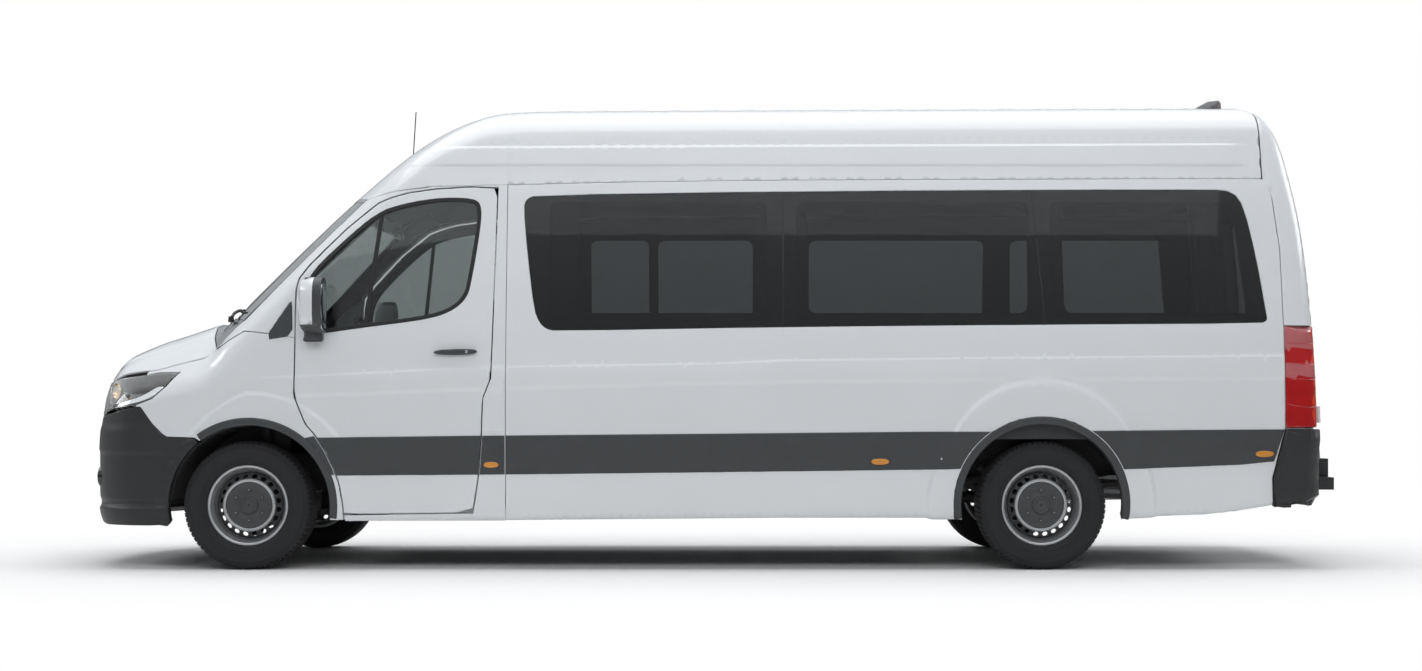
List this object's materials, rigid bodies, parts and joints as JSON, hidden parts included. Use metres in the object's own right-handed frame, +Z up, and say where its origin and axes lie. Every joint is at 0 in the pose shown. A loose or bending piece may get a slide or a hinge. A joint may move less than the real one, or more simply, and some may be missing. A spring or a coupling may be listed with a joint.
{
  "type": "glazed panel van with a high roof",
  "caption": "Long high-roof van with side glazing, hinged front doors, bonnet and rear doors, and steered rolling wheels.",
  "frame": {"origin": "on the ground under the middle of the bounding box", "axes": "+X to the van's rear along its length, -Y to its left side, +Z up"},
  "size_m": [6.9655, 2.345, 2.712],
  "materials": {
    "paint": "smooth gloss paint",
    "glass": "dark tinted glass",
    "clear": "clear lens",
    "plastic": "grained plastic",
    "lamp": "moulded lens",
    "frame": "dark underbody paint",
    "dark_steel": "dark coated iron",
    "steel": "bare or silver steel",
    "cloth": "woven cloth",
    "rubber": "tyre rubber"
  },
  "bodies": {
    "body": {"roof": "paint", "windscreen": "glass", "cab_frame": "paint", "wing_left": "paint", "wing_right": "paint", "headlamp_left": "clear", "headlamp_right": "clear", "front_bumper": "plastic", "grille": "plastic", "side_wall_left": "paint", "side_glass_left": "glass", "side_wall_right": "paint", "side_glass_right": "glass", "sliding_door": "paint", "sliding_door_window": "glass", "rear_frame": "paint", "tail_lamp_left": "lamp", "tail_lamp_right": "lamp", "rear_bumper": "plastic", "floor_pan": "frame", "front_axle": "dark_steel", "engine_block": "steel", "radiator": "steel", "rear_axle": "dark_steel", "exhaust": "steel", "fuel_tank": "frame", "dashboard": "plastic", "steering_wheel": "plastic", "driver_seat": "cloth", "passenger_seat": "cloth"},
    "front_door_left": {"front_door_left": "paint", "door_window_left": "glass", "mirror_left": "paint"},
    "front_door_right": {"front_door_right": "paint", "door_window_right": "glass", "mirror_right": "paint"},
    "rear_door_left": {"rear_door_left": "paint", "rear_window_left": "glass"},
    "rear_door_right": {"rear_door_right": "paint", "rear_window_right": "glass"},
    "bonnet": {"bonnet": "paint"},
    "knuckle_left": {"knuckle_left": "dark_steel"},
    "knuckle_right": {"knuckle_right": "dark_steel"},
    "wheel_front_left": {"rim_front_left": "steel", "tyre_front_left": "rubber"},
    "wheel_front_right": {"rim_front_right": "steel", "tyre_front_right": "rubber"},
    "wheel_rear_left": {"rim_rear_left": "steel", "tyre_rear_left": "rubber"},
    "wheel_rear_right": {"rim_rear_right": "steel", "tyre_rear_right": "rubber"}
  },
  "joints": [
    {"name": "front_door_left_hinge", "type": "hinge", "parent": "body", "child": "front_door_left", "pos_m": [-2.1795, -0.993, 1], "axis": [0, 0, -1], "range_deg": [0, 70]},
    {"name": "front_door_right_hinge", "type": "hinge", "parent": "body", "child": "front_door_right", "pos_m": [-2.1795, 0.993, 1], "axis": [0, 0, 1], "range_deg": [0, 70]},
    {"name": "rear_door_left_hinge", "type": "hinge", "parent": "body", "child": "rear_door_left", "pos_m": [3.3925, -0.845, 0.5], "axis": [0.0349, 0, -0.9994], "range_deg": [0, 180]},
    {"name": "rear_door_right_hinge", "type": "hinge", "parent": "body", "child": "rear_door_right", "pos_m": [3.3925, 0.845, 0.5], "axis": [-0.0349, 0, 0.9994], "range_deg": [0, 180]},
    {"name": "bonnet_hinge", "type": "hinge", "parent": "body", "child": "bonnet", "pos_m": [-2.7445, 0, 1.355], "axis": [0, 1, 0], "range_deg": [0, 50]},
    {"name": "steer_left", "type": "hinge", "parent": "body", "child": "knuckle_left", "pos_m": [-2.4795, -0.8, 0.35], "axis": [0, 0, 1], "range_deg": [-35, 35]},
    {"name": "steer_right", "type": "hinge", "parent": "body", "child": "knuckle_right", "pos_m": [-2.4795, 0.8, 0.35], "axis": [0, 0, 1], "range_deg": [-35, 35]},
    {"name": "front_left_roll", "type": "hinge", "parent": "knuckle_left", "child": "wheel_front_left", "pos_m": [-2.4795, -0.8575, 0.35], "axis": [0, 1, 0], "continuous": true},
    {"name": "front_right_roll", "type": "hinge", "parent": "knuckle_right", "child": "wheel_front_right", "pos_m": [-2.4795, 0.8575, 0.35], "axis": [0, 1, 0], "continuous": true},
    {"name": "rear_left_roll", "type": "hinge", "parent": "body", "child": "wheel_rear_left", "pos_m": [1.8455, -0.8575, 0.35], "axis": [0, 1, 0], "continuous": true},
    {"name": "rear_right_roll", "type": "hinge", "parent": "body", "child": "wheel_rear_right", "pos_m": [1.8455, 0.8575, 0.35], "axis": [0, 1, 0], "continuous": true}
  ],
  "couplings": [
    {"joint": "steer_right", "follows": "steer_left", "ratio": 1}
  ]
}
